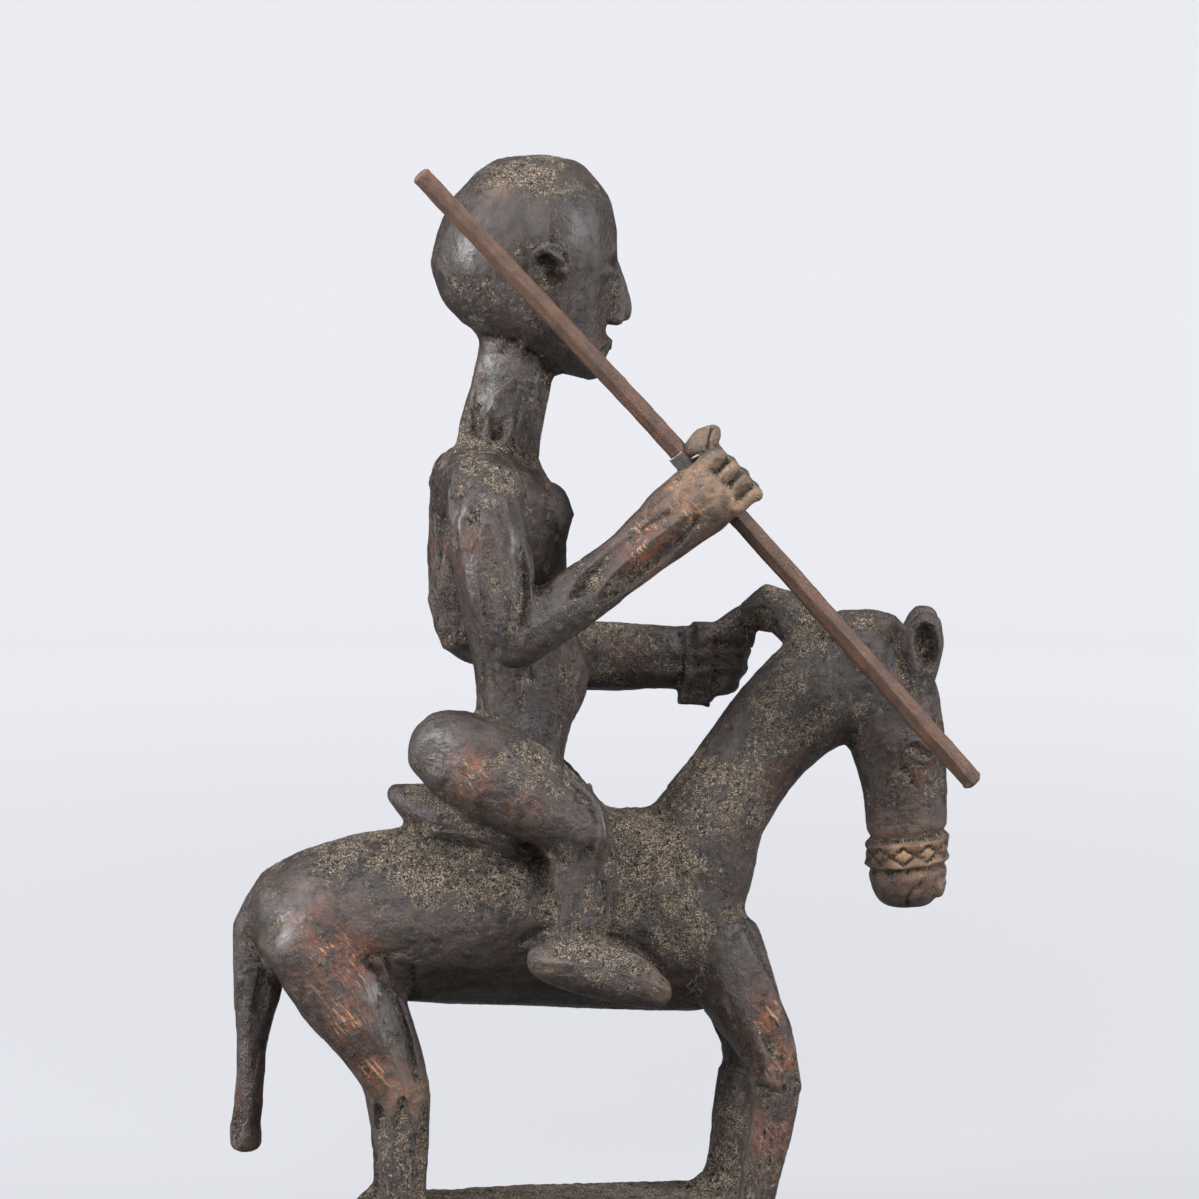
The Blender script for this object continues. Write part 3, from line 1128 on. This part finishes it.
def oldWood(tree, wide, patches, mottle, spots):  # dark, with brown grain, and darker and greyer patches
    dark, brown = woodFinish["dark"], woodFinish["brown"]
    color = putMix(tree, putRange(tree, wide, 0.3, 0.75), dark, brown)
    color = putMix(tree, times(tree, spots["Broad"], 0.55), color, dark)
    color = putMix(tree, times(tree, mottle["Broad"], 0.4), color, brown)
    color = putMix(tree, times(tree, patches["Broad"], 0.75), color, dark)
    color = putMix(tree, times(tree, patches["Fine"], 0.14), color, woodFinish["film"])
    return putMix(tree, putRange(tree, spots["Fine"], 0.55, 1.0, 0.0, 0.6), color, dark)


def warmed(tree, color, mottle, spots):  # worn to a warm brown
    share = times(tree, kept(tree, "warm"), putRange(tree, mottle["Broad"], 0.0, 0.6, 0.35, 1.0))
    share = times(tree, share, putRange(tree, spots["Broad"], 0.85, 0.2, 0.15, 1.0))
    return putMix(tree, share, color, woodFinish["warm"])


def rubbed(tree, color, bare, spots):  # greyer on ridges and on bare spots
    share = times(tree, kept(tree, "ridge"), putRange(tree, spots["Fine"], 0.0, 1.0, 0.2, 0.9))
    share = putMath(tree, "MAXIMUM", share, times(tree, bare, 0.45))
    return putMix(tree, share, color, woodFinish["rubbed"])


def scratched(tree, color, place, mottle):  # pale scratches where handling has worn it
    strokes = putStreaks(tree, turned(tree, place, (0, 38, 0)), 800.0, 0.06)
    share = times(tree, putRange(tree, strokes, 0.62, 0.74), putRange(tree, mottle["Broad"], 0.2, 0.5))
    share = times(tree, share, putRange(tree, kept(tree, "warm"), 0.2, 0.75))
    return putMix(tree, times(tree, share, 0.7), color, woodFinish["pale"])


def faded(tree, color, spots):  # pale where it is worn most, and a thin film of dust near the crust
    uneven = plus(tree, times(tree, spots["Broad"], 0.5), times(tree, spots["Fine"], 0.5))
    pale = putMix(tree, times(tree, spots["Fine"], 0.7), woodFinish["pale"], woodFinish["film"])
    color = putMix(tree, times(tree, kept(tree, "pale"), putRange(tree, uneven, 0.95, 0.35)), color, pale)
    thinner = putRange(tree, spots["Broad"], 1.0, 0.1, 0.15, 0.55)
    film = times(tree, putRange(tree, kept(tree, "crust"), 0.2, 0.9), thinner)
    return putMix(tree, film, color, woodFinish["film"])


def crusted(tree, color, crust, spots):  # dust and crust, and dark pits and hollows
    dust = putMix(tree, crust["Grains"], woodFinish["crustDark"], woodFinish["crust"])
    share = times(tree, crust["Mask"], putRange(tree, spots["Broad"], 1.0, 0.2, 0.4, 0.95))
    color = putMix(tree, share, color, dust)
    dark = plus(tree, times(tree, kept(tree, "hollow"), 0.6), crust["Pits"], True)
    return putMix(tree, dark, color, woodFinish["hollow"])


def makeWood():
    material, tree, shader = newMaterial("agedCarvedWood")
    place, grain = objectPlace(tree), kept(tree, "grainPlace", "Vector")
    patches, mottle, spots = (putMottle(tree, place, scale) for scale in (26.0, 60.0, 210.0))
    crust = putCrust(tree, place, kept(tree, "crust"), 1500.0)
    streaks = putStreaks(tree, grain, 1100.0, 0.10)
    wide = putStreaks(tree, grain, 230.0, 0.24)
    bare = times(tree, kept(tree, "worn"), putRange(tree, mottle["Broad"], 1.0, 0.3, 0.55, 1.0))
    color = oldWood(tree, wide, patches, mottle, spots)
    color = rubbed(tree, warmed(tree, color, mottle, spots), bare, spots)
    color = putMix(tree, times(tree, putRange(tree, streaks, 0.45, 0.25), 0.35), color, woodFinish["hollow"])
    color = faded(tree, scratched(tree, color, place, mottle), spots)
    color = crusted(tree, color, crust, spots)
    roughness = putRange(tree, crust["Mask"], 0, 1, woodFinish["smooth"], woodFinish["dry"])
    roughness = plus(tree, roughness, times(tree, spots["Fine"], putRange(tree, bare, 0.0, 0.8, 0.2, 0.06)))
    height = plus(tree, times(tree, streaks, 0.10), times(tree, spots["Fine"], 0.16))
    height = plus(tree, height, times(tree, wide, 0.16))
    height = plus(tree, height, times(tree, spots["Broad"], 0.6))
    height = times(tree, height, putRange(tree, bare, 0.0, 0.8, 1.0, 0.35))
    height = plus(tree, crust["Height"], height)
    linkSurface(tree, shader, color, roughness, height, woodFinish["relief"], 1.0)
    return material


staffFinish = {
    "dark": (0.036, 0.023, 0.018, 1),
    "brown": (0.165, 0.078, 0.044, 1),
    "light": (0.185, 0.094, 0.052, 1),
    "grime": (0.055, 0.043, 0.036, 1),
    "roughness": 0.5,
    "relief": 0.0003,
    "lean": 42.7,
}


def makeStaffWood():
    material, tree, shader = newMaterial("shavedStick")
    place = turned(tree, objectPlace(tree), (0, staffFinish["lean"], 0))
    streaks = putStreaks(tree, place, 700.0, 0.06)
    mottle = putMottle(tree, place, 110.0)
    crust = putCrust(tree, place, 0.42, 700.0)
    color = putMix(tree, putRange(tree, streaks, 0.3, 0.75), staffFinish["brown"], staffFinish["light"])
    color = putMix(tree, times(tree, mottle["Broad"], 0.55), color, staffFinish["dark"])
    color = putMix(tree, times(tree, mottle["Fine"], 0.45), color, staffFinish["dark"])
    color = putMix(tree, times(tree, crust["Mask"], 0.55), color, staffFinish["grime"])
    roughness = plus(tree, staffFinish["roughness"], times(tree, mottle["Fine"], 0.15))
    height = plus(tree, streaks, times(tree, mottle["Fine"], 0.8))
    linkSurface(tree, shader, color, roughness, height, staffFinish["relief"], 0.7)
    return material


hideFinish = {
    "dark": (0.045, 0.043, 0.042, 1),
    "light": (0.16, 0.15, 0.14, 1),
    "cut": (0.50, 0.44, 0.36, 1),
    "roughness": 0.75,
    "relief": 0.0003,
}


def makeHide():
    material, tree, shader = newMaterial("dryHide")
    mottle = putMottle(tree, objectPlace(tree), 160.0)
    color = putMix(tree, mottle["Fine"], hideFinish["dark"], hideFinish["light"])
    color = putMix(tree, kept(tree, "cutEdge"), color, hideFinish["cut"])
    roughness = plus(tree, hideFinish["roughness"], times(tree, mottle["Broad"], 0.15))
    linkSurface(tree, shader, color, roughness, mottle["Fine"], hideFinish["relief"], 0.7)
    return material


for piece, material, node, slotName in (
        (carving, makeWood(), "horse_and_rider", "carved_wood"),
        (staff, makeStaffWood(), "staff", "staff_wood"),
        (strip, makeHide(), "staff_packing_strip", "hide_strip")):
    piece.data.materials.append(material)
    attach(piece, "root")
    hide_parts(node)
print("finishes made")


# The studio: a round pale sheet that curves up all round, and soft boxes left, right and above

studio = {
    "paper": (0.10, 0.102, 0.108, 1),
    "glow": (0.875, 0.885, 0.935, 1),
    "glowHigh": 0.865,
    "glowLow": 0.60,
    "glowReach": 2.6,
    "paperRadius": 2.7,
    "paperCurve": 0.3,
    "paperWall": 0.5,
    "air": (0.86, 0.90, 1.0, 1),
    "airStrength": 0.27,
    "aim": (0, 0, 0.3),
    # name, place, size, energy and colour
    "boxes": [
        ("leftBox", (-1.75, -0.45, 1.15), (0.8, 1.2), 76.0, (0.95, 0.97, 1)),
        ("rightBox", (1.75, -0.8, 0.95), (0.6, 1.1), 54.0, (0.95, 0.97, 1)),
        ("frontBox", (-0.5, -1.9, 1.5), (1.0, 0.8), 22.0, (1, 1, 1)),
        ("topBox", (0, 0.1, 2.3), (1.2, 1.0), 24.0, (1, 1, 1)),
    ],
}


def bendUp(radius):  # the open edge of the paper is drawn out and up, and then straight up
    steps = 8
    curve = radius * studio["paperCurve"]
    last = 1.0
    for step in range(1, steps + 1):
        turn = step / steps * math.pi / 2
        wide = 1 + studio["paperCurve"] * math.sin(turn)
        rise = curve * (1 - math.cos(turn)) - curve * (1 - math.cos(turn - math.pi / 2 / steps))
        bpy.ops.mesh.extrude_edges_move(TRANSFORM_OT_translate={"value": (0, 0, rise)})
        bpy.ops.transform.resize(value=(wide / last, wide / last, 1))
        last = wide
    wall = radius * studio["paperWall"]
    bpy.ops.mesh.extrude_edges_move(TRANSFORM_OT_translate={"value": (0, 0, wall)})


def makePaper():
    clearSelection()
    radius = studio["paperRadius"]
    bpy.ops.mesh.primitive_circle_add(vertices=96, radius=radius, fill_type="NGON", location=(0, 0, 0))
    paper = bpy.context.object
    paper.name = "pale_paper"
    bpy.ops.object.mode_set(mode="EDIT")
    bpy.ops.mesh.select_all(action="SELECT")
    bpy.ops.mesh.region_to_loop()
    bendUp(radius)
    bpy.ops.mesh.select_all(action="SELECT")
    bpy.ops.mesh.normals_make_consistent(inside=True)
    bpy.ops.object.mode_set(mode="OBJECT")
    bpy.ops.object.shade_smooth()
    material, tree, shader = newMaterial("palePaper")
    shader.inputs["Base Color"].default_value = studio["paper"]
    shader.inputs["Roughness"].default_value = 0.9
    shader.inputs["Emission Color"].default_value = studio["glow"]
    # the paper looks white but doesn't flood the figure with light
    seen = put(tree, "ShaderNodeLightPath").outputs["Is Camera Ray"]
    far = put(tree, "ShaderNodeVectorMath", [(0, objectPlace(tree))], operation="LENGTH").outputs["Value"]
    depth = putRange(tree, far, 0.0, studio["glowReach"], studio["glowLow"], studio["glowHigh"])
    tree.links.new(times(tree, seen, depth), shader.inputs["Emission Strength"])
    paper.data.materials.append(material)


def addSoftBox(name, place, size, energy, color):
    bpy.ops.object.light_add(type="AREA", location=place)
    light = bpy.context.object
    light.name = name
    light.data.shape = "RECTANGLE"
    light.data.size, light.data.size_y = size
    light.data.energy = energy
    light.data.color = color
    light.visible_camera = False
    light.rotation_euler = (Vector(studio["aim"]) - Vector(place)).to_track_quat("-Z", "Y").to_euler()


def makeStudio():
    makePaper()
    world = bpy.data.worlds.new("softAir")
    world.use_nodes = True
    background = world.node_tree.nodes["Background"]
    background.inputs["Color"].default_value = studio["air"]
    background.inputs["Strength"].default_value = studio["airStrength"]
    bpy.context.scene.world = world
    for box in studio["boxes"]:
        addSoftBox(*box)
    bpy.context.scene.view_settings.view_transform = "Standard"


makeStudio()
print("studio lit")
